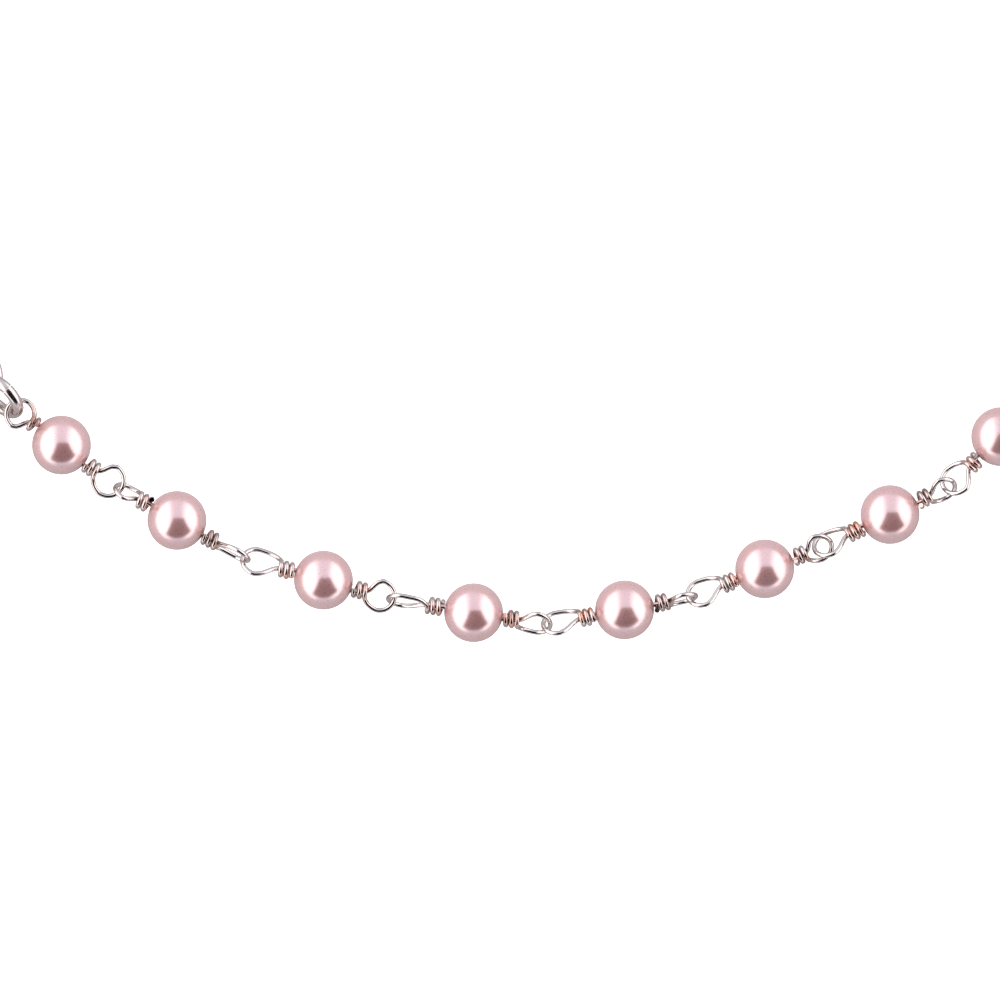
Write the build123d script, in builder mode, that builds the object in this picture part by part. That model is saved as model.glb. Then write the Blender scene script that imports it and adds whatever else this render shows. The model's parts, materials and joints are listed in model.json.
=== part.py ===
from build123d import *
import os
from math import asin, cos, degrees, pi, radians, sin, sqrt
from typing import NamedTuple

# A wire-linked pearl necklace, unclasped and laid out flat. Millimetres and degrees.
# +Z is up from the table the pearls lie on; the origin is under the middle of the layout.

# ---- driving dimensions ----
pearl_d = 6.0
link_count = 25
wire_d = 0.5            # the wire of every pearl link
drill_clearance = 0.08  # radial, pearl bore round its wire
pearl_play = 0.05       # play between a pearl and the coil nested against it
coil_gap = 0.20         # daylight between a coil and the stem it is loosely wound on
turn_gap = 0.09         # daylight between two turns of a coil
link_gap = 0.10         # least daylight between the wires of two hooked links
ring_gap = 0.34         # the same where two rings hook each other

jump_wire_d = 1.2        # the thick jump ring at the catch end
jump_ring_d = 5.6
catch_wire_d = 0.9      # the ring that the clasp hooks
catch_ring_d = 7.1
tail_wire_d = 0.7       # the jump ring at the clasp end
tail_ring_d = 4.2
saw_cut = 0.08          # gap left where a ring's ends are closed

clasp_d = 7.0           # spring-ring clasp, over its tube
clasp_tube_d = 1.3
clasp_wall = 0.2
bolt_clearance = 0.05   # radial, bolt in its tube
mouth_half = 20         # the mouth's half angle
bolt_seat = 8           # how far the bolt's tip enters the tube past the mouth
bolt_travel = 50        # how far the thumb knob draws it back
bolt_tail = 60          # the bolt's length inside the tube, closed
knob_offset = 14        # knob behind the mouth's edge, closed
plug_half = 10          # solid stretch of the tube under the tail eye
peg_d = 0.5             # the knob's peg, through the slot into the bolt
slot_clearance = 0.08   # the peg in its slot, and the knob over the tube
rivet_gap = 0.02        # radial and axial, in riveted and soldered seats
knob_d = 1.0
knob_height = 0.45
tail_eye_d = 2.7
tail_eye_wire_d = 0.56
shank_depth = 0.45      # how deep the tail eye's shank stands in the tube
spring_wire_d = 0.12
spring_clearance = 0.05  # radial, spring in the tube
spring_gap = 0.1        # daylight at each end of the spring
spring_turns = 12


class Eye(NamedTuple):
    """One wrapped eye of a link: coil turns, loop radius, neck length and the eye's turn about the link."""

    turns: float
    loop_r: float
    neck: float
    roll: float


# The handmade eyes, in order along the chain. The first link has its own left eye beside the
# jump ring. From the second link on, seven pairs repeat.
first_left_eye = Eye(1, 1.45, 1.4, 0)
first_right_eye = Eye(2, 1.6, 1.55, 5)
left_eyes = [
    Eye(2, 1.2, 1.5, -60),
    Eye(2.25, 1.5, 2.45, -35),
    Eye(2.5, 1.45, 2.65, 70),
    Eye(2.25, 1.45, 2.4, -45),
    Eye(2.25, 1.5, 2.25, -35),
    Eye(2.5, 1.55, 2.2, -45),
    Eye(2, 1.55, 1.85, -30),
]
right_eyes = [
    Eye(2.25, 1.4, 2.35, 75),
    Eye(2, 1.5, 1.55, 5),
    Eye(2.25, 1.45, 1.9, 50),
    Eye(2, 1.4, 1.6, 75),
    Eye(2, 1.5, 1.35, 35),
    Eye(2, 1.35, 1.5, 45),
    first_right_eye,
]
# How far past touching each pair of hooked eyes lies pushed together, from the first pair on.
first_slack = 0
slacks = [0, 0, 0.1, 0.2, 1.2, 0.5, 0]

# Which way each link of the front points. The links after them turn evenly through the rest.
front_headings = [-37, -29, -15.5, -9.5, 11, 21, 25.5, 44]
last_heading = 184
jump_heading = -45
catch_heading = -24
jump_roll = 64
clasp_heading = 190

# ---- sizes that follow ----
pearl_r = pearl_d / 2
wire_r = wire_d / 2
drill_r = wire_r + drill_clearance
coil_r = wire_d + coil_gap
coil_pitch = wire_d + turn_gap
first_turn_x = sqrt((pearl_r + pearl_play + wire_r) ** 2 - coil_r**2)
jump_r = (jump_ring_d - jump_wire_d) / 2
catch_r = (catch_ring_d - catch_wire_d) / 2
tail_ring_r = (tail_ring_d - tail_wire_d) / 2
tube_r = clasp_tube_d / 2
clasp_r = clasp_d / 2 - tube_r
bolt_r = tube_r - clasp_wall - bolt_clearance
tail_eye_r = (tail_eye_d - tail_eye_wire_d) / 2


def frame_at(origin, heading, roll=0.0, pitch=0.0):
    """A plane whose x runs along the chain, lifted by pitch, and which is turned about x by roll."""
    h, p, r = radians(heading), radians(pitch), radians(roll)
    along = Vector(cos(h) * cos(p), sin(h) * cos(p), sin(p))
    side = Vector(-sin(h), cos(h), 0)
    up = along.cross(side)
    return Plane(origin=origin, x_dir=along, z_dir=up * cos(r) - side * sin(r))


def tip_x(eye):
    """How far the centre of an eye's wire reaches from the pearl's centre."""
    return first_turn_x + eye.turns * coil_pitch + eye.neck + eye.loop_r


def left_eye(i):
    """The left eye of link i, counted from 0."""
    return first_left_eye if i == 0 else left_eyes[(i - 1) % len(left_eyes)]


def right_eye(i):
    """The right eye of link i."""
    return first_right_eye if i == 0 else right_eyes[(i - 1) % len(right_eyes)]


def link_heading(i):
    """The heading of link i: listed for the front, then in even steps."""
    front = len(front_headings)
    if i < front:
        return front_headings[i]
    step = (last_heading - front_headings[-1]) / (link_count - front)
    return front_headings[-1] + step * (i - front + 1)


def hook(wire_a_d, wire_b_d, gap=link_gap):
    """How far apart the centres of two hooked wires lie along the chain."""
    return (wire_a_d + wire_b_d) / 2 + gap


def place_links():
    """The middle of each pearl, from the first one on, each link hooked into the last."""
    centres = [Vector(0, 0, pearl_r)]
    for i in range(1, link_count):
        slack = first_slack if i == 1 else slacks[(i - 2) % len(slacks)]
        overlap = hook(wire_d, wire_d, link_gap + slack) / 2
        before = frame_at(centres[-1], link_heading(i - 1))
        after = frame_at(Vector(0, 0, 0), link_heading(i))
        joint = before.origin + before.x_dir * (tip_x(right_eye(i - 1)) - overlap)
        centres.append(joint + after.x_dir * (tip_x(left_eye(i)) - overlap))
    return centres


def ring_reach(frame, ring_r, section_r, direction):
    """How far a ring reaches from its middle in a direction."""
    return ring_r * sqrt(max(0, 1 - frame.z_dir.dot(direction) ** 2)) + section_r


# ---- the layout, first with the first pearl at the origin, then about its own middle ----
def layout(shift=Vector(0, 0, 0)):
    """The planes of every link, ring and the clasp."""
    links = [frame_at(c + shift, link_heading(i)) for i, c in enumerate(place_links())]

    tip = links[0].origin - links[0].x_dir * tip_x(left_eye(0))
    near = tip + links[0].x_dir * hook(wire_d, jump_wire_d)
    level = frame_at(near, jump_heading)
    jump = frame_at(near - level.x_dir * jump_r, jump_heading, jump_roll)
    far = jump.origin - jump.x_dir * (jump_r - hook(jump_wire_d, catch_wire_d, ring_gap))
    catch_pitch = degrees(asin((pearl_r - catch_wire_d / 2) / (2 * catch_r)))
    lean = frame_at(far, catch_heading, pitch=catch_pitch)
    catch = frame_at(far - lean.x_dir * catch_r, catch_heading, pitch=catch_pitch)

    last = links[-1]
    tip = last.origin + last.x_dir * tip_x(right_eye(link_count - 1))
    near = tip - last.x_dir * hook(wire_d, tail_wire_d)
    level = frame_at(near, last_heading)
    roll = (right_eye(link_count - 1).roll + 90) / 2 - 90
    tail_ring = frame_at(near + level.x_dir * tail_ring_r, last_heading, roll)
    far = tail_ring.origin + level.x_dir * (tail_ring_r - hook(tail_wire_d, tail_eye_wire_d, ring_gap))
    eye_to_case = tail_eye_r + tail_eye_wire_d / 2 + tube_r + clasp_r
    drop = (pearl_r - tube_r) / (tail_eye_r + eye_to_case + clasp_r)
    clasp_pitch = degrees(asin(drop))
    lean = frame_at(far, clasp_heading + 180, pitch=clasp_pitch)
    clasp = frame_at(far - lean.x_dir * (tail_eye_r + eye_to_case), clasp_heading + 180, pitch=clasp_pitch)
    return links, jump, catch, tail_ring, clasp


def middle(links, catch, clasp):
    """The middle of the layout's box on the table."""
    reaches = [(p.origin, lambda d: pearl_r) for p in links]
    reaches.append((catch.origin, lambda d: ring_reach(catch, catch_r, catch_wire_d / 2, d)))
    reaches.append((clasp.origin, lambda d: ring_reach(clasp, clasp_r, tube_r, d)))
    centre = Vector(0, 0, 0)
    for way in (Vector(1, 0, 0), Vector(0, 1, 0)):
        high = max(at.dot(way) + reach(way) for at, reach in reaches)
        low = min(at.dot(way) - reach(way) for at, reach in reaches)
        centre += way * ((high + low) / 2)
    return centre


first_links, _, first_catch, _, first_clasp = layout()
link_planes, jump_plane, catch_plane, tail_ring_plane, clasp_plane = layout(
    middle(first_links, first_catch, first_clasp) * -1
)


def eye_points(eye):
    """The wire's centre line from the stem round the loop and down the coil, x along the link."""
    cross_x = first_turn_x + eye.turns * coil_pitch
    loop_x = cross_x + eye.neck
    widest, steps = 95, 6  # the loop is round out to 95 degrees each side of its tip
    points = [Vector(cross_x, 0, 0)]
    for k in range(steps + 1):
        a = radians(widest * (1 - 2 * k / steps))
        points.append(Vector(loop_x + eye.loop_r * cos(a), eye.loop_r * sin(a), 0))
    lead_in, flare, lead_angle = 0.25, 1.25, radians(-75)
    points.append(Vector(cross_x + lead_in, flare * coil_r * sin(lead_angle), flare * coil_r * cos(lead_angle)))
    count = round(eye.turns * 6)
    for k in range(count + 1):
        turned = eye.turns * k / count
        a = 2 * pi * turned
        points.append(Vector(cross_x - coil_pitch * turned, coil_r * sin(a), coil_r * cos(a)))
    return points


def coil_end_tangent(eye):
    """The wire's direction at its cut end, beside the pearl."""
    a = 2 * pi * eye.turns
    return Vector(-coil_pitch / (2 * pi), coil_r * cos(a), -coil_r * sin(a)).normalized()


def eye_frame(link, eye, side):
    """The frame of the eye on one side of a link, +1 right and -1 left, x pointing away from the pearl."""
    away = link.x_dir * side
    up = Vector(0, 0, 1)
    roll = radians(eye.roll * side)
    return Plane(origin=link.origin, x_dir=away, z_dir=up * cos(roll) - up.cross(away) * sin(roll))


def to_world(frame, vector):
    """A direction of the frame, in the world."""
    return frame.from_local_coords(vector) - frame.origin


def section_at(frame, ring_r, angle):
    """The plane across a ring's section at an angle from the frame's x, its own x pointing outwards."""
    out = Vector(cos(radians(angle)), sin(radians(angle)), 0)
    along = Vector(-out.Y, out.X, 0)
    return Plane(
        origin=frame.from_local_coords(out * ring_r),
        x_dir=to_world(frame, out),
        z_dir=to_world(frame, along),
    )


def save(part, name):
    """Labels a finished piece and writes it."""
    part.label = name
    export_step(part, f"parts/{name}.step")


# ---- pieces ----
def make_pearl(link, name):
    """A round pearl drilled along its link."""
    half_bore = sqrt(pearl_r**2 - drill_r**2)
    with BuildPart() as pearl:
        with BuildSketch(Plane(origin=link.origin, x_dir=link.x_dir, z_dir=link.y_dir * -1)):
            with BuildLine():
                ThreePointArc((-half_bore, drill_r), (0, pearl_r), (half_bore, drill_r))
                Line((half_bore, drill_r), (-half_bore, drill_r))
            make_face()
        revolve(axis=Axis(link.origin, link.x_dir))
    save(pearl.part, name)


def make_wire(link, left, right, name):
    """The one wire of a link: coil, eye, stem through the pearl, eye and coil."""
    ends = []
    for eye, side in ((left, -1), (right, 1)):
        frame = eye_frame(link, eye, side)
        points = [frame.from_local_coords(p) for p in eye_points(eye)]
        ends.append((points, [to_world(frame, Vector(1, 0, 0)), to_world(frame, coil_end_tangent(eye))]))
    (left_points, left_tangents), (right_points, right_tangents) = ends
    with BuildPart() as wire:
        with BuildLine() as run:
            back = [t * -1 for t in reversed(left_tangents)]
            Spline(*reversed(left_points), tangents=back, tangent_scalars=(1, 1))
            Line(left_points[0], right_points[0])
            Spline(*right_points, tangents=right_tangents, tangent_scalars=(1, 1))
        with BuildSketch(Plane(origin=left_points[-1], z_dir=left_tangents[1] * -1)):
            Circle(wire_r)
        sweep(path=run.wires()[0])
    save(wire.part, name)


def make_ring(frame, ring_r, section_r, seam_angle, name):
    """A closed jump ring with its saw cut at an angle from the frame's x."""
    cut = degrees(saw_cut / ring_r)
    with BuildPart() as ring:
        with BuildSketch(section_at(frame, ring_r, seam_angle + cut / 2)):
            Circle(section_r)
        revolve(axis=Axis(frame.origin, frame.z_dir), revolution_arc=360 - cut)
    save(ring.part, name)


# ---- the clasp: a sprung bolt in a bent tube, angles from the tail eye, the mouth opposite ----
clasp_axis = Axis(clasp_plane.origin, clasp_plane.z_dir)
mouth_near = 180 - mouth_half
mouth_far = 180 + mouth_half
bolt_end = mouth_near - bolt_tail
knob_angle = mouth_near - knob_offset
tail_eye_x = clasp_r + tube_r + tail_eye_wire_d / 2 + tail_eye_r


def make_clasp_case():
    """The tube, hollow each side of the plug, with the knob's slot and the tail eye's socket."""
    hollow_r = tube_r - clasp_wall
    slot_end = knob_angle - bolt_travel - degrees((peg_d / 2 + slot_clearance) / clasp_r)
    slot_width = peg_d + 2 * slot_clearance
    with BuildPart() as case:
        with BuildSketch(section_at(clasp_plane, clasp_r, mouth_far)):
            Circle(tube_r)
        revolve(axis=clasp_axis, revolution_arc=360 - 2 * mouth_half)
        with BuildSketch(section_at(clasp_plane, clasp_r, mouth_far)):
            Circle(hollow_r)
        revolve(axis=clasp_axis, revolution_arc=180 - mouth_half - plug_half, mode=Mode.SUBTRACT)
        with BuildSketch(section_at(clasp_plane, clasp_r, plug_half)):
            Circle(hollow_r)
        revolve(axis=clasp_axis, revolution_arc=mouth_near - plug_half, mode=Mode.SUBTRACT)
        with BuildSketch(section_at(clasp_plane, clasp_r, slot_end)):
            with Locations((tube_r, 0)):
                Rectangle(tube_r, slot_width)
        revolve(axis=clasp_axis, revolution_arc=mouth_near - slot_end, mode=Mode.SUBTRACT)
        socket_end = clasp_plane.from_local_coords(Vector(clasp_r + tube_r - shank_depth, 0, 0))
        with BuildSketch(Plane(origin=socket_end, z_dir=clasp_plane.x_dir)):
            Circle(tail_eye_wire_d / 2 + rivet_gap)
        extrude(amount=2 * shank_depth, mode=Mode.SUBTRACT)
    save(case.part, "clasp_case")


def make_clasp_bolt():
    """The curved bolt that closes the mouth, with the blind hole of its thumb knob."""
    knob_plane = section_at(clasp_plane, clasp_r, knob_angle)
    with BuildPart() as bolt:
        with BuildSketch(section_at(clasp_plane, clasp_r, bolt_end)):
            Circle(bolt_r)
        revolve(axis=clasp_axis, revolution_arc=mouth_far + bolt_seat - bolt_end)
        with BuildSketch(Plane(origin=knob_plane.origin, z_dir=knob_plane.x_dir)):
            Circle(peg_d / 2 + rivet_gap)
        extrude(amount=2 * bolt_r, mode=Mode.SUBTRACT)
    save(bolt.part, "clasp_bolt")


def make_clasp_knob():
    """The thumb knob: a peg riveted in the bolt, with a round head outside the tube."""
    knob_plane = section_at(clasp_plane, clasp_r, knob_angle)
    head_base = tube_r + slot_clearance
    with BuildPart() as knob:
        with BuildSketch(Plane(origin=knob_plane.origin + knob_plane.x_dir * rivet_gap, z_dir=knob_plane.x_dir)):
            Circle(peg_d / 2)
        extrude(amount=head_base)
        with BuildSketch(Plane(origin=knob_plane.origin + knob_plane.x_dir * head_base, z_dir=knob_plane.x_dir)):
            Circle(knob_d / 2)
        extrude(amount=knob_height)
        fillet(knob.faces().sort_by(Axis(knob_plane.origin, knob_plane.x_dir))[-1].edges(), knob_height / 3)
    save(knob.part, "clasp_thumb_knob")


def make_clasp_spring():
    """The coil spring in the tube, between the plug and the bolt."""
    helix_r = tube_r - clasp_wall - spring_clearance - spring_wire_d / 2
    gap = degrees((spring_gap + spring_wire_d / 2) / clasp_r)
    low, high = plug_half + gap, bolt_end - gap
    per_turn = 8
    count = spring_turns * per_turn
    points = []
    for k in range(count + 1):
        at = section_at(clasp_plane, clasp_r, low + (high - low) * k / count)
        a = 2 * pi * k / per_turn
        points.append(at.from_local_coords(Vector(helix_r * cos(a), helix_r * sin(a), 0)))
    with BuildPart() as spring:
        with BuildLine() as coil:
            Spline(*points)
        with BuildSketch(Plane(origin=coil.line @ 0, z_dir=coil.line % 0)):
            Circle(spring_wire_d / 2)
        sweep(path=coil.wires()[0])
    save(spring.part, "clasp_spring")


def make_clasp_tail_eye():
    """The small upright eye soldered into the case, which the jump ring holds."""
    eye_plane = Plane(
        origin=clasp_plane.from_local_coords(Vector(tail_eye_x, 0, 0)),
        x_dir=clasp_plane.x_dir,
        z_dir=clasp_plane.y_dir,
    )
    base = clasp_plane.from_local_coords(Vector(clasp_r + tube_r - shank_depth + rivet_gap, 0, 0))
    with BuildPart() as tail_eye:
        with BuildSketch(section_at(eye_plane, tail_eye_r, 0)):
            Circle(tail_eye_wire_d / 2)
        revolve(axis=Axis(eye_plane.origin, eye_plane.z_dir), revolution_arc=360)
        with BuildSketch(Plane(origin=base, z_dir=clasp_plane.x_dir)):
            Circle(tail_eye_wire_d / 2)
        extrude(amount=shank_depth - rivet_gap + tail_eye_wire_d / 2)
    save(tail_eye.part, "clasp_tail_eye")


def main():
    """Makes and writes every piece."""
    os.makedirs("parts", exist_ok=True)
    for i, link in enumerate(link_planes):
        make_pearl(link, f"pearl_{i + 1:02d}")
        make_wire(link, left_eye(i), right_eye(i), f"wire_link_{i + 1:02d}")
    make_ring(jump_plane, jump_r, jump_wire_d / 2, 90, "catch_jump_ring")
    make_ring(catch_plane, catch_r, catch_wire_d / 2, 200, "catch_ring")
    make_ring(tail_ring_plane, tail_ring_r, tail_wire_d / 2, 90, "clasp_jump_ring")
    make_clasp_case()
    make_clasp_bolt()
    make_clasp_knob()
    make_clasp_spring()
    make_clasp_tail_eye()


main()
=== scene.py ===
import json
import logging
import math
from dataclasses import dataclass, field
from enum import Enum
from typing import Callable

import bmesh
import bpy
from mathutils import Matrix, Vector


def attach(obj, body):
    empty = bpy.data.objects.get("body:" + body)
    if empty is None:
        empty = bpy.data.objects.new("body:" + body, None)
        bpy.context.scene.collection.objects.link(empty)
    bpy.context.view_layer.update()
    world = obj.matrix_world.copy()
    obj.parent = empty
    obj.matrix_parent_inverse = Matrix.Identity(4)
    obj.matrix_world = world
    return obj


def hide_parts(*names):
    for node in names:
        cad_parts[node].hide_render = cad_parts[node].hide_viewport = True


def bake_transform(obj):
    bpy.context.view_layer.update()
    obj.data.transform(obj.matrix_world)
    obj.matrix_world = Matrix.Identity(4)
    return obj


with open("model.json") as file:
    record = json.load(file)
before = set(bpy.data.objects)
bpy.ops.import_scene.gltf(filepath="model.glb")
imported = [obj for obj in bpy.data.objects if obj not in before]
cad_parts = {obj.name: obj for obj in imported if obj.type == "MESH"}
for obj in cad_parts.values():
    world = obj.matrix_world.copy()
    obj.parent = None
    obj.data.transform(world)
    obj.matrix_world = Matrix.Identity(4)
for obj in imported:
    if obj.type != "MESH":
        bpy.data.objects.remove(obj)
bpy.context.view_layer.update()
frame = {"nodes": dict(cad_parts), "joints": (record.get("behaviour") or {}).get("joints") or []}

LOG = logging.getLogger("necklace")
MM = 0.001
UP = Vector((0, 0, 1))
JOINTS = {joint["name"]: joint for joint in frame["joints"]}
SMOOTH_BELOW = math.radians(50)
WIRE_ROUNDNESS = 6
BUMP_STRENGTH = 0.3


# ---------------------------------------------------------------- small bench tools


def deselect_all() -> None:
    """Leaves object mode with nothing selected."""
    if bpy.context.mode != "OBJECT":
        bpy.ops.object.mode_set(mode="OBJECT")
    bpy.ops.object.select_all(action="DESELECT")


def make_active(piece: bpy.types.Object) -> None:
    """Selects one object alone and makes it active.

    Args:
        piece: The object.
    """
    deselect_all()
    piece.select_set(True)
    bpy.context.view_layer.objects.active = piece


def settle(piece: bpy.types.Object) -> bpy.types.Object:
    """Moves a piece's place, turn and size into its mesh.

    Args:
        piece: A mesh object, placed where it belongs.

    Returns:
        The same object, with its origin at the frame's.
    """
    make_active(piece)
    bpy.ops.object.transform_apply(location=True, rotation=True, scale=True)
    return piece


def pick(piece: bpy.types.Object, kind: str, wanted: Callable[[object], bool]) -> None:
    """Selects the faces, edges or vertices of the piece in edit mode that pass a test.

    Args:
        piece: The object in edit mode.
        kind: "FACE", "EDGE" or "VERT".
        wanted: Tells whether a bmesh element is to be selected.
    """
    bpy.ops.mesh.select_mode(type=kind)
    bpy.ops.mesh.select_all(action="DESELECT")
    mesh = bmesh.from_edit_mesh(piece.data)
    elements = {"FACE": mesh.faces, "EDGE": mesh.edges, "VERT": mesh.verts}[kind]
    for element in elements:
        if wanted(element):
            element.select = True
    mesh.select_flush_mode()
    bmesh.update_edit_mesh(piece.data)


def copy_piece(piece: bpy.types.Object, name: str, place: Matrix) -> bpy.types.Object:
    """Makes a copy of a piece with its own mesh, at a place.

    Args:
        piece: The piece to copy.
        name: The copy's name.
        place: Where it goes, from the model piece's own axes.

    Returns:
        The settled copy.
    """
    twin = piece.copy()
    twin.data = piece.data.copy()
    twin.name = name
    twin.data.name = name
    bpy.context.scene.collection.objects.link(twin)
    twin.matrix_world = place
    return settle(twin)


def put_away(piece: bpy.types.Object) -> None:
    """Removes a model piece once its copies are made."""
    bpy.data.objects.remove(piece, do_unlink=True)


def axes(origin: Vector, along: Vector, up: Vector) -> Matrix:
    """Makes a place whose x runs along one direction and whose z is as near as it can be to another.

    Args:
        origin: Where the place is.
        along: The direction of its x axis.
        up: The direction that its z axis comes near to.

    Returns:
        The place.
    """
    x = along.normalized()
    y = up.cross(x).normalized()
    z = x.cross(y)
    place = Matrix((x, y, z)).transposed().to_4x4()
    place.translation = origin
    return place


def joint_place(name: str) -> tuple[Vector, Vector]:
    """Where a joint is and which way its axis points.

    Args:
        name: The joint's name.

    Returns:
        Its position and its axis.
    """
    joint = JOINTS[name]
    return Vector(joint["pos_m"]), Vector(joint["axis"]).normalized()


def draw_wire(name: str, line: list[Vector], wire_r: float, steps: int) -> bpy.types.Object:
    """Draws a round wire along a smooth line and makes it a mesh with closed ends.

    Args:
        name: The wire's name.
        line: The points its centre passes through.
        wire_r: Its radius.
        steps: How finely each stretch between two points is divided.

    Returns:
        The wire's mesh object.
    """
    curve = bpy.data.curves.new(name, "CURVE")
    curve.dimensions = "3D"
    curve.twist_mode = "MINIMUM"
    curve.bevel_depth = wire_r
    curve.bevel_resolution = WIRE_ROUNDNESS
    curve.resolution_u = steps
    curve.use_fill_caps = True
    spline = curve.splines.new("BEZIER")
    spline.bezier_points.add(len(line) - 1)
    for knot, point in zip(spline.bezier_points, line):
        knot.co = point
        knot.handle_left_type = knot.handle_right_type = "AUTO"
    wire = bpy.data.objects.new(name, curve)
    bpy.context.scene.collection.objects.link(wire)
    make_active(wire)
    bpy.ops.object.convert(target="MESH")
    wire = bpy.context.active_object
    wire.data.name = name
    bpy.ops.object.shade_smooth_by_angle(angle=SMOOTH_BELOW)
    return wire


# ---------------------------------------------------------------- finishes


class NodeBench:
    """Adds and joins the nodes of one tree."""

    def __init__(self, tree: bpy.types.NodeTree) -> None:
        """Takes the tree to work on."""
        self.tree = tree
        self.nodes = tree.nodes
        self.links = tree.links

    def add(self, kind: str, **settings: object) -> bpy.types.Node:
        """Adds a node, sets its properties and, where a setting names an input, that input.

        Args:
            kind: The node's bl_idname.
            **settings: Properties of the node, or its inputs, spaces written as underscores.

        Returns:
            The node.
        """
        node = self.nodes.new(kind)
        for name, value in settings.items():
            if hasattr(node, name):
                setattr(node, name, value)
            else:
                self.fill(node, name.replace("_", " "), value)
        return node

    def fill(self, node: bpy.types.Node, label: str, value: object) -> None:
        """Sets or joins an input by its label, among those in use: a Mix node has one for each data type.

        Args:
            node: The node.
            label: The input's label.
            value: A socket to read, or a plain value.
        """
        place = next(place for place in node.inputs if place.name == label and place.enabled)
        if isinstance(value, bpy.types.NodeSocket):
            self.join(value, place)
        else:
            place.default_value = value

    def mix(self, factor: object, first: object, second: object) -> bpy.types.NodeSocket:
        """Mixes two colours, each a socket or three numbers.

        Args:
            factor: How much of the second shows, as a socket or a number.
            first: The colour at 0.
            second: The colour at 1.

        Returns:
            The result's socket.
        """
        node = self.add("ShaderNodeMix", data_type="RGBA")
        self.fill(node, "Factor", factor)
        for label, colour in (("A", first), ("B", second)):
            self.fill(node, label, (*colour, 1) if isinstance(colour, tuple) else colour)
        return next(place for place in node.outputs if place.enabled)

    def join(self, source: bpy.types.NodeSocket, target: bpy.types.NodeSocket) -> None:
        """Links one socket to another."""
        self.links.new(source, target)

    def math(self, operation: str, *terms: bpy.types.NodeSocket | float) -> bpy.types.NodeSocket:
        """Works out one step of arithmetic.

        Args:
            operation: A Math node's operation.
            *terms: Its inputs in order, each a socket to read or a plain number.

        Returns:
            The result's socket.
        """
        node = self.add("ShaderNodeMath", operation=operation)
        for place, term in zip(node.inputs, terms):
            if isinstance(term, (int, float)):
                place.default_value = term
            else:
                self.join(term, place)
        return node.outputs["Value"]

    def between(self, source: bpy.types.NodeSocket, start: float, end: float) -> bpy.types.NodeSocket:
        """Rises smoothly from 0 to 1 as the source goes from start to end.

        Args:
            source: The socket to read.
            start: Its value where the result is 0.
            end: Its value where the result is 1.

        Returns:
            The result's socket.
        """
        node = self.add("ShaderNodeMapRange", interpolation_type="SMOOTHSTEP", From_Min=start, From_Max=end)
        self.join(source, node.inputs["Value"])
        return node.outputs["Result"]


def spots_group() -> bpy.types.NodeTree:
    """A shared effect: a soft mask of spots, used for pearl clouds, skin, handling marks, and the painted
    pearl reflection and painted shade among the wire's coils.

    Returns:
        The node group, with inputs Scale, Start, Full and Strength and the output Mask.
    """
    name = "soft_spots"
    if name in bpy.data.node_groups:
        return bpy.data.node_groups[name]
    group = bpy.data.node_groups.new(name, "ShaderNodeTree")
    for label, value in (("Scale", 1000.0), ("Start", 0.35), ("Full", 0.65), ("Strength", 1.0)):
        socket = group.interface.new_socket(label, in_out="INPUT", socket_type="NodeSocketFloat")
        socket.default_value = value
    group.interface.new_socket("Mask", in_out="OUTPUT", socket_type="NodeSocketFloat")
    bench = NodeBench(group)
    given = bench.add("NodeGroupInput")
    result = bench.add("NodeGroupOutput")
    place = bench.add("ShaderNodeTexCoord")
    noise = bench.add("ShaderNodeTexNoise", Detail=3, Roughness=0.55)
    spread = bench.add("ShaderNodeMapRange")
    bench.join(place.outputs["Object"], noise.inputs["Vector"])
    bench.join(given.outputs["Scale"], noise.inputs["Scale"])
    bench.join(noise.outputs["Fac"], spread.inputs["Value"])
    bench.join(given.outputs["Start"], spread.inputs["From Min"])
    bench.join(given.outputs["Full"], spread.inputs["From Max"])
    mask = bench.math("MULTIPLY", spread.outputs["Result"], given.outputs["Strength"])
    bench.join(mask, result.inputs["Mask"])
    return group


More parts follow.
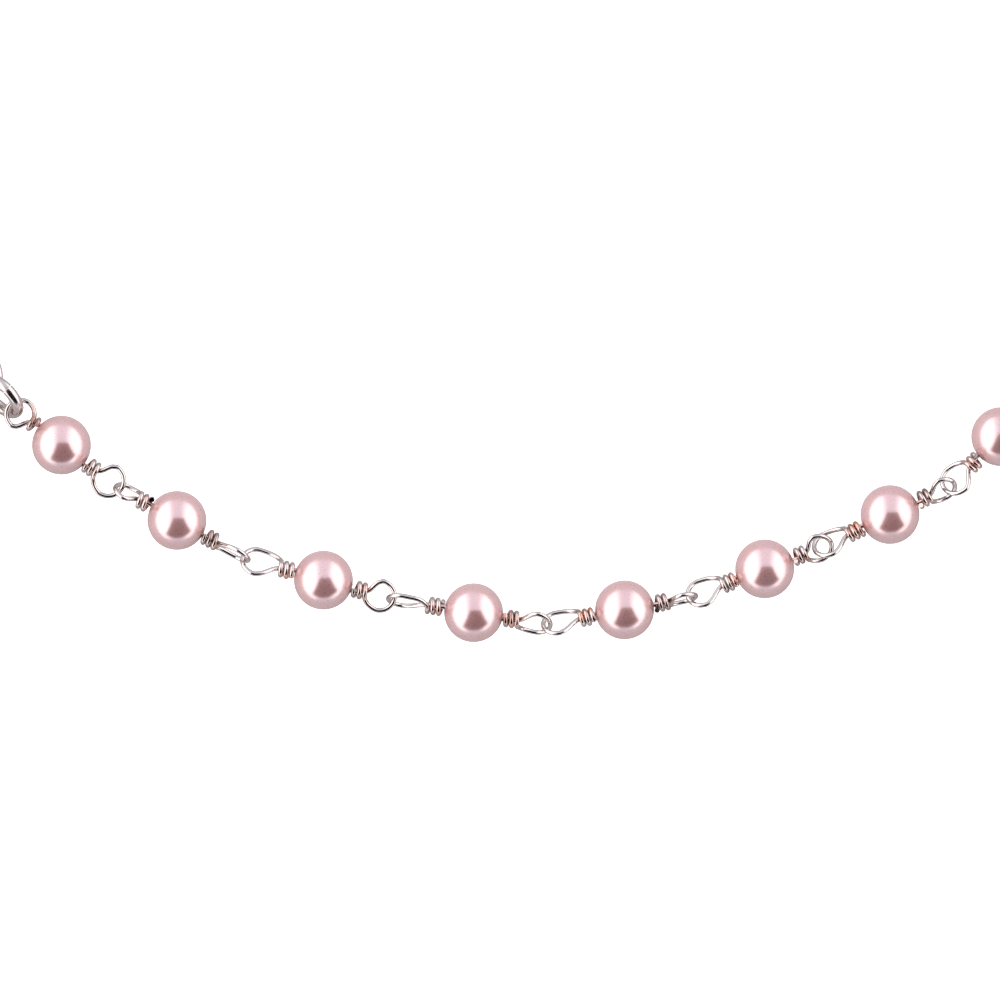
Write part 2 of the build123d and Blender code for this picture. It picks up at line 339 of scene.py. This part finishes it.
@dataclass(frozen=True)
class PearlFinish:
    """A glass pearl: a rose body under a thick lacquer, with clouds, a fine skin and a few specks."""

    name: str = "rose_pearl"
    body: tuple[float, float, float] = (0.80, 0.385, 0.375)
    clouds: tuple[float, float, float] = (0.83, 0.43, 0.43)
    speck: tuple[float, float, float] = (0.42, 0.17, 0.16)
    metallic: float = 0.4
    roughness: float = 0.3
    lacquer_index: float = 4.0
    lacquer_roughness: float = 0.2
    smoother: float = 0.9
    rougher: float = 1.15
    cloud_spread: float = 420
    skin_spread: float = 5200
    skin_depth: float = 0.000001
    speck_spread: float = 190
    speck_size: float = 0.022
    speck_core: float = 0.5

    def build(self) -> bpy.types.Material:
        """Makes the material.

        Returns:
            The material.
        """
        material = bpy.data.materials.new(self.name)
        material.use_nodes = True
        bench = NodeBench(material.node_tree)
        shader = material.node_tree.nodes["Principled BSDF"]
        shader.inputs["Metallic"].default_value = self.metallic
        shader.inputs["Coat Weight"].default_value = 1.0
        shader.inputs["Coat Roughness"].default_value = self.lacquer_roughness
        shader.inputs["Coat IOR"].default_value = self.lacquer_index
        clouds = bench.add("ShaderNodeGroup", node_tree=spots_group())
        clouds.inputs["Scale"].default_value = self.cloud_spread
        body = bench.mix(clouds.outputs["Mask"], self.body, self.clouds)
        specks = bench.add("ShaderNodeTexVoronoi", Scale=self.speck_spread)
        bench.join(bench.add("ShaderNodeTexCoord").outputs["Object"], specks.inputs["Vector"])
        speck = bench.between(specks.outputs["Distance"], self.speck_size, self.speck_size * self.speck_core)
        bench.join(bench.mix(speck, body, self.speck), shader.inputs["Base Color"])
        skin = bench.add("ShaderNodeGroup", node_tree=spots_group())
        skin.inputs["Scale"].default_value = self.skin_spread
        least, most = self.roughness * self.smoother, self.roughness * self.rougher
        rough = bench.add("ShaderNodeMapRange", To_Min=least, To_Max=most)
        bench.join(skin.outputs["Mask"], rough.inputs["Value"])
        bench.join(rough.outputs["Result"], shader.inputs["Roughness"])
        bump = bench.add("ShaderNodeBump", Strength=BUMP_STRENGTH, Distance=self.skin_depth)
        bench.join(skin.outputs["Mask"], bump.inputs["Height"])
        bench.join(bump.outputs["Normal"], shader.inputs["Normal"])
        return material


@dataclass(frozen=True)
class SilverFinish:
    """Bright silver plate: warm white metal with handling marks; among the coils a painted coppery
    reflection of the pearl and painted dark shade.
    """

    name: str
    colour: tuple[float, float, float] = (0.68, 0.60, 0.575)
    # painted reflection: the coppery tint of the pink pearl reflected in the wire near its coils
    pearl_reflection_tint: tuple[float, float, float] = (0.80, 0.33, 0.20)
    # painted shade: the dark colour laid on the wire among the coils, next to the pearl
    coil_shade: tuple[float, float, float] = (0.24, 0.13, 0.11)
    roughness: float = 0.03
    marks: float = 1500
    scratches: float = 9000
    scratch_depth: float = 0.000004
    rougher: float = 2
    # how strongly the painted pearl reflection and painted shade show among the coils
    painted_light_strength: float = 0.0
    pearl_reflection_spots: tuple[float, float, float] = (700, 0.46, 0.72)
    coil_shade_spots: tuple[float, float, float] = (420, 0.5, 0.7)

    def build(self) -> bpy.types.Material:
        """Makes the material.

        Returns:
            The material.
        """
        material = bpy.data.materials.new(self.name)
        material.use_nodes = True
        bench = NodeBench(material.node_tree)
        shader = material.node_tree.nodes["Principled BSDF"]
        shader.inputs["Metallic"].default_value = 1.0
        handled = bench.add("ShaderNodeGroup", node_tree=spots_group())
        handled.inputs["Scale"].default_value = self.marks
        rough = bench.add("ShaderNodeMapRange", To_Min=self.roughness, To_Max=self.roughness * self.rougher)
        bench.join(handled.outputs["Mask"], rough.inputs["Value"])
        bench.join(rough.outputs["Result"], shader.inputs["Roughness"])
        near_coil = bench.add("ShaderNodeAttribute", attribute_name="near_coil")
        # painted reflection: spots of coppery tint where the pearl would reflect in the wire beside it
        reflection_mask = self.painted_light_mask(bench, near_coil.outputs["Fac"], *self.pearl_reflection_spots)
        # painted shade: dark spots among the coils, next to the pearl, where shade falls
        shade_mask = self.painted_light_mask(bench, near_coil.outputs["Fac"], *self.coil_shade_spots)
        with_reflection = bench.mix(reflection_mask, self.colour, self.pearl_reflection_tint)
        bench.join(bench.mix(shade_mask, with_reflection, self.coil_shade), shader.inputs["Base Color"])
        fine = bench.add("ShaderNodeGroup", node_tree=spots_group())
        fine.inputs["Scale"].default_value = self.scratches
        bump = bench.add("ShaderNodeBump", Strength=BUMP_STRENGTH, Distance=self.scratch_depth)
        bench.join(fine.outputs["Mask"], bump.inputs["Height"])
        bench.join(bump.outputs["Normal"], shader.inputs["Normal"])
        return material

    def painted_light_mask(
        self, bench: NodeBench, where: bpy.types.NodeSocket, scale: float, start: float, full: float
    ) -> bpy.types.NodeSocket:
        """Where spots of painted light lie among the coils: the painted reflection of the pearl, and the
        painted shade.

        Args:
            bench: The material's nodes.
            where: How near the coils the surface is.
            scale: Spots per metre.
            start: The noise at which a spot starts.
            full: The noise at which it is full.

        Returns:
            The mask's socket.
        """
        spots = bench.add("ShaderNodeGroup", node_tree=spots_group())
        spots.inputs["Scale"].default_value = scale
        spots.inputs["Start"].default_value = start
        spots.inputs["Full"].default_value = full
        spots.inputs["Strength"].default_value = self.painted_light_strength
        return bench.math("MULTIPLY", spots.outputs["Mask"], where)


class Slot(Enum):
    """The record's material slots."""

    PEARL = "pearl"
    LINK_WIRE = "link_wire"
    RING = "ring"
    CLASP = "clasp_shell"
    SPRING = "spring_steel"


class FinishRack:
    """Every finish of the necklace, made once."""

    def __init__(self) -> None:
        """Makes the materials."""
        self.materials: dict[Slot, bpy.types.Material] = {
            Slot.PEARL: PearlFinish().build(),
            # the link wires carry the painted pearl reflection and painted shade among their coils
            Slot.LINK_WIRE: SilverFinish("link_silver", painted_light_strength=0.9).build(),
            Slot.RING: SilverFinish("ring_silver", roughness=0.12).build(),
            Slot.CLASP: SilverFinish("clasp_silver", roughness=0.07).build(),
            Slot.SPRING: SilverFinish("spring_steel", colour=(0.56, 0.56, 0.57), roughness=0.3).build(),
        }

    def dress(self, piece: bpy.types.Object, slot: Slot) -> None:
        """Gives a new piece its material.

        Args:
            piece: The piece to dress.
            slot: The record's slot it belongs to.
        """
        piece.data.materials.clear()
        piece.data.materials.append(self.materials[slot])

    def redress(self, node: str, slot: Slot) -> None:
        """Gives a CAD node the finish of a slot."""
        for place in frame["nodes"][node].material_slots:
            place.material = self.materials[slot]


# ---------------------------------------------------------------- the strand


@dataclass(frozen=True)
class Eye:
    """One wrapped eye: coil turns, loop radius and neck in millimetres, and its roll in degrees."""

    turns: float
    loop_r: float
    neck: float
    roll: float


@dataclass
class PearlStrand:
    """The pearls and the wires they turn on, hooked eye to eye. Sizes in millimetres."""

    rack: FinishRack
    pearl_r: float = 3.0
    drill_r: float = 0.33
    pearl_play: float = 0.05
    wire_d: float = 0.5
    coil_gap: float = 0.20
    turn_gap: float = 0.09
    curve_steps: int = 5
    first_eyes: tuple[Eye, Eye] = (Eye(1, 1.45, 1.4, 0), Eye(2, 1.6, 1.55, 5))
    left_eyes: tuple[Eye, ...] = (
        Eye(2, 1.2, 1.5, -60),
        Eye(2.25, 1.5, 2.45, -35),
        Eye(2.5, 1.45, 2.65, 70),
        Eye(2.25, 1.45, 2.4, -45),
        Eye(2.25, 1.5, 2.25, -35),
        Eye(2.5, 1.55, 2.2, -45),
        Eye(2, 1.55, 1.85, -30),
    )
    right_eyes: tuple[Eye, ...] = (
        Eye(2.25, 1.4, 2.35, 75),
        Eye(2, 1.5, 1.55, 5),
        Eye(2.25, 1.45, 1.9, 50),
        Eye(2, 1.4, 1.6, 75),
        Eye(2, 1.5, 1.35, 35),
        Eye(2, 1.35, 1.5, 45),
        Eye(2, 1.6, 1.55, 5),
    )
    links: list[str] = field(default_factory=list)

    def __post_init__(self) -> None:
        """Lists the links that the frame has, in order, and works out the coils."""
        self.wire_r = self.wire_d / 2
        self.coil_r = self.wire_d + self.coil_gap
        self.coil_pitch = self.wire_d + self.turn_gap
        self.first_turn = math.sqrt((self.pearl_r + self.pearl_play + self.wire_r) ** 2 - self.coil_r**2)
        self.links = sorted(node[-2:] for node in frame["nodes"] if node.startswith("pearl_"))

    def eyes_of(self, place: int) -> tuple[Eye, Eye]:
        """Finds the eyes of one link.

        Args:
            place: The link's place in the chain, from 0.

        Returns:
            Its left and its right eye.
        """
        if place == 0:
            return self.first_eyes
        turn = (place - 1) % len(self.left_eyes)
        return self.left_eyes[turn], self.right_eyes[turn]

    def model_pearl(self) -> bpy.types.Object:
        """Models one drilled pearl at the frame's origin, drilled along z.

        Returns:
            The pearl, to be copied.
        """
        around, rings = 72, 56
        crown_share, lip_flare, throat_flare = 0.99999, 1.16, 1.03
        lip_drop, throat_drop, bore_drop = 0.9985, 0.994, 0.985
        deselect_all()
        bpy.ops.mesh.primitive_uv_sphere_add(segments=around, ring_count=rings, radius=self.pearl_r * MM)
        pearl = bpy.context.active_object
        bpy.ops.object.mode_set(mode="EDIT")
        crown = self.pearl_r * MM * crown_share
        pick(pearl, "VERT", lambda v: abs(v.co.z) > crown)
        bpy.ops.mesh.delete(type="VERT")
        lip_r, drill_r = self.drill_r * lip_flare, self.drill_r
        open_r = self.pearl_r * math.sin(math.pi / rings)
        pick(pearl, "EDGE", lambda e: e.is_boundary)
        bpy.ops.transform.resize(value=(lip_r / open_r, lip_r / open_r, lip_drop))
        bpy.ops.mesh.extrude_edges_move()
        throat = drill_r / lip_r * throat_flare
        bpy.ops.transform.resize(value=(throat, throat, throat_drop))
        bpy.ops.mesh.extrude_edges_move()
        bpy.ops.transform.resize(value=(1 / throat_flare, 1 / throat_flare, bore_drop))
        bpy.ops.mesh.bridge_edge_loops()
        bpy.ops.object.mode_set(mode="OBJECT")
        bpy.ops.object.shade_smooth_by_angle(angle=SMOOTH_BELOW)
        return pearl

    def string_pearls(self) -> None:
        """Copies the pearl to each link and lets it ride on its own body."""
        model = self.model_pearl()
        for number in self.links:
            centre, along = joint_place(f"pearl_{number}_spin")
            place = axes(centre, along, UP) @ Matrix.Rotation(math.radians(90), 4, "Y")
            pearl = copy_piece(model, f"pearl_ball_{number}", place)
            self.rack.dress(pearl, Slot.PEARL)
            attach(pearl, f"pearl_{number}")
            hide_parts(f"pearl_{number}")
            LOG.info("pearl %s", number)
        put_away(model)

    def eye_line(self, eye: Eye) -> list[Vector]:
        """The wire's centre line from the stem round the loop and down the coil, x away from the pearl.

        Args:
            eye: The eye to bend.

        Returns:
            Points in millimetres, close enough for a smooth curve through them.
        """
        cross = self.first_turn + eye.turns * self.coil_pitch
        loop_x = cross + eye.neck
        widest = 95
        arc_steps = 8
        line = [Vector((cross, 0, 0))]
        for step in range(arc_steps + 1):
            a = math.radians(widest * (1 - 2 * step / arc_steps))
            line.append(Vector((loop_x + eye.loop_r * math.cos(a), eye.loop_r * math.sin(a), 0)))
        lead_in, flare, lead = 0.25, 1.25, math.radians(-75)
        reach = flare * self.coil_r
        line.append(Vector((cross + lead_in, reach * math.sin(lead), reach * math.cos(lead))))
        turn_steps = 12
        count = round(eye.turns * turn_steps)
        for step in range(count + 1):
            turned = eye.turns * step / count
            a = 2 * math.pi * turned
            y, z = self.coil_r * math.sin(a), self.coil_r * math.cos(a)
            line.append(Vector((cross - self.coil_pitch * turned, y, z)))
        return line

    def bend_wire(self, place: int, number: str) -> bpy.types.Object:
        """Bends the one wire of a link and makes it a mesh.

        Args:
            place: The link's place in the chain, from 0.
            number: The link's two-figure number.

        Returns:
            The wire, where it belongs.
        """
        centre, along = joint_place(f"pearl_{number}_spin")
        halves = []
        for eye, way in zip(self.eyes_of(place), (-1, 1)):
            roll = Matrix.Rotation(math.radians(eye.roll * way), 4, "X")
            seat = axes(centre, along * way, UP) @ roll
            halves.append([seat @ (point * MM) for point in self.eye_line(eye)])
        line = list(reversed(halves[0])) + [centre] + halves[1]
        wire = draw_wire(f"bent_wire_{number}", line, self.wire_r * MM, self.curve_steps)
        self.mark_coils(wire, centre, along)
        return wire

    def mark_coils(self, wire: bpy.types.Object, centre: Vector, along: Vector) -> None:
        """Writes how near each point of a wire is to its coils, for the painted pearl reflection and painted
        shade in its finish.

        Args:
            wire: The wire's mesh object.
            centre: The middle of its pearl.
            along: The link's direction.
        """
        under_pearl, coil_turns, fade = 0.95, 2.2, 0.5 * MM
        start = self.pearl_r * MM * under_pearl
        end = (self.first_turn + coil_turns * self.coil_pitch) * MM
        mark = wire.data.attributes.new("near_coil", "FLOAT", "POINT")
        for vertex, item in zip(wire.data.vertices, mark.data):
            x = abs((vertex.co - centre).dot(along))
            beyond = max(start - x, x - end, 0)
            item.value = max(0.0, 1 - beyond / fade)

    def bend_wires(self) -> None:
        """Bends every link's wire and lets it ride on its body."""
        for place, number in enumerate(self.links):
            wire = self.bend_wire(place, number)
            self.rack.dress(wire, Slot.LINK_WIRE)
            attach(wire, f"wire_link_{number}")
            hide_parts(f"wire_link_{number}")
            LOG.info("wire %s", number)

    def build(self) -> None:
        """Makes the pearls and the wires."""
        self.string_pearls()
        self.bend_wires()


@dataclass(frozen=True)
class BoltSpring:
    """The coil spring in the clasp's tube. Drawing the bolt presses it together.

    At the full draw its middle turns run into each other. Sizes are in millimetres and degrees.
    """

    rack: FinishRack
    arc_r: float = 2.85
    helix_r: float = 0.34
    wire_d: float = 0.12
    turns: int = 12
    first: float = 13.22
    last: float = 96.78
    turn_steps: int = 8
    curve_steps: int = 4

    def clasp_place(self) -> Matrix:
        """Finds the clasp's own place.

        Returns:
            Its middle, with x to the tail eye and z along the axis its tube is bent round.
        """
        middle, axis = joint_place("clasp_bolt_draw")
        outward = joint_place("clasp_swing")[0] - middle
        return axes(middle, outward - outward.dot(axis) * axis, -axis)

    def build(self) -> None:
        """Winds the spring between the case and the bolt."""
        place = self.clasp_place()
        count = self.turns * self.turn_steps
        line = []
        for step in range(count + 1):
            along = math.radians(self.first + (self.last - self.first) * step / count)
            a = 2 * math.pi * step / self.turn_steps
            out = self.arc_r + self.helix_r * math.cos(a)
            at = Vector((out * math.cos(along), out * math.sin(along), -self.helix_r * math.sin(a)))
            line.append(place @ (at * MM))
        spring = draw_wire("wound_spring", line, self.wire_d / 2 * MM, self.curve_steps)
        self.rack.dress(spring, Slot.SPRING)
        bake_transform(spring)
        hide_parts("clasp_spring")


CAD_FINISHES = {
    "catch_ring": Slot.RING,
    "catch_jump_ring": Slot.RING,
    "clasp_jump_ring": Slot.RING,
    "clasp_case": Slot.CLASP,
    "clasp_bolt": Slot.CLASP,
    "clasp_thumb_knob": Slot.CLASP,
    "clasp_tail_eye": Slot.CLASP,
}


# ---------------------------------------------------------------- stage


@dataclass(frozen=True)
class Studio:
    """A white table under soft light, and the camera straight above the front of the necklace."""

    view_width: float = 101.73 * MM
    from_first_pearl: tuple[float, float] = (44.61 * MM, -5.59 * MM)
    height: float = 1.2
    table_half: float = 1.5
    table_tone: float = 0.6
    left_bank: float = 1.15
    right_bank: float = 1.05
    ceiling: float = 0.9
    ceiling_tint: tuple[float, float, float] = (0.92, 0.97, 1.09)
    bank_tint: tuple[float, float, float] = (1.0, 0.99, 1.0)
    walls: float = 0.85
    gap_centre: float = 0.13
    gap_half: float = 0.43
    gap_spread: float = 0.42
    gap_over: float = 0.13
    gap_depth: float = 1.0
    left_edge: tuple[float, float] = (-0.15, -0.6)
    right_edge: tuple[float, float] = (0.25, 0.65)
    wall_fade: tuple[float, float] = (0.0, 0.3)
    gap_sides: tuple[float, float] = (-0.06, 0.08)
    gap_end: tuple[float, float] = (0.1, -0.04)
    gap_foot: tuple[float, float] = (0.2, 0.36)
    paper_roughness: float = 0.9
    paper_shine: float = 0.1
    sensor_mm: float = 36
    far: float = 20

    def lay_table(self) -> None:
        """Lays the table: pale grey to what lies on it, and plain white to the eye."""
        deselect_all()
        bpy.ops.mesh.primitive_plane_add(size=2 * self.table_half, location=(0, 0, 0))
        table = bpy.context.active_object
        table.name = "white_table"
        paper = bpy.data.materials.new("white_paper")
        paper.use_nodes = True
        bench = NodeBench(paper.node_tree)
        shader = paper.node_tree.nodes["Principled BSDF"]
        shader.inputs["Base Color"].default_value = (self.table_tone, self.table_tone, self.table_tone, 1)
        shader.inputs["Roughness"].default_value = self.paper_roughness
        shader.inputs["Specular IOR Level"].default_value = self.paper_shine
        shader.inputs["Emission Color"].default_value = (1, 1, 1, 1)
        ray = bench.add("ShaderNodeLightPath")
        bench.join(ray.outputs["Is Camera Ray"], shader.inputs["Emission Strength"])
        table.data.materials.append(paper)

    def light_sky(self) -> None:
        """Wraps the scene in soft studio light: bright banks, a paler ceiling and a dark gap in front."""
        world = bpy.data.worlds.new("studio")
        bpy.context.scene.world = world
        world.use_nodes = True
        bench = NodeBench(world.node_tree)
        background = world.node_tree.nodes["Background"]
        split = bench.add("ShaderNodeSeparateXYZ")
        bench.join(bench.add("ShaderNodeTexCoord").outputs["Generated"], split.inputs["Vector"])
        x, y, z = split.outputs["X"], split.outputs["Y"], split.outputs["Z"]
        left = bench.math("MULTIPLY", bench.between(x, *self.left_edge), self.left_bank)
        right = bench.math("MULTIPLY", bench.between(x, *self.right_edge), self.right_bank)
        banks = bench.math("ADD", left, right)
        room = bench.math("ADD", banks, self.ceiling)
        rise = bench.math("MULTIPLY", bench.between(z, *self.wall_fade), 1 - self.walls)
        low = bench.math("ADD", rise, self.walls)
        side = bench.math("ABSOLUTE", bench.math("SUBTRACT", x, self.gap_centre))
        half = bench.math("SUBTRACT", self.gap_half, bench.math("MULTIPLY", y, self.gap_spread))
        inside = bench.between(bench.math("SUBTRACT", half, side), *self.gap_sides)
        closed, opened = (self.gap_over + edge for edge in self.gap_end)
        front = bench.math("MULTIPLY", bench.between(y, closed, opened), inside)
        gap = bench.math("MULTIPLY", front, bench.between(z, *self.gap_foot))
        open_sky = bench.math("SUBTRACT", 1.0, bench.math("MULTIPLY", gap, self.gap_depth))
        light = bench.math("MULTIPLY", bench.math("MULTIPLY", room, low), open_sky)
        seen = bench.add("ShaderNodeMix", data_type="FLOAT")
        bench.fill(seen, "Factor", bench.add("ShaderNodeLightPath").outputs["Is Camera Ray"])
        bench.fill(seen, "A", light)
        bench.fill(seen, "B", 1.0)
        bench.join(bench.mix(banks, self.ceiling_tint, self.bank_tint), background.inputs["Color"])
        bench.join(seen.outputs["Result"], background.inputs["Strength"])

    def set_camera(self) -> None:
        """Hangs the camera over the front of the necklace."""
        first, _ = joint_place("pearl_01_spin")
        lens = bpy.data.cameras.new("camera")
        lens.type = "PERSP"
        lens.sensor_width = self.sensor_mm
        lens.lens = lens.sensor_width * self.height / self.view_width
        lens.clip_end = self.far
        camera = bpy.data.objects.new("camera", lens)
        bpy.context.scene.collection.objects.link(camera)
        right, back = self.from_first_pearl
        camera.location = (first.x + right, first.y + back, self.height + first.z)
        bpy.context.scene.camera = camera

    def build(self) -> None:
        """Sets up table, light and camera."""
        self.lay_table()
        self.light_sky()
        self.set_camera()
        bpy.context.scene.view_settings.view_transform = "Standard"


def main() -> None:
    """Builds the necklace and its stage."""
    logging.basicConfig(level=logging.INFO, format="%(name)s: %(message)s")
    rack = FinishRack()
    PearlStrand(rack).build()
    BoltSpring(rack).build()
    for node, slot in CAD_FINISHES.items():
        rack.redress(node, slot)
    Studio().build()


if __name__ == "__main__":
    main()
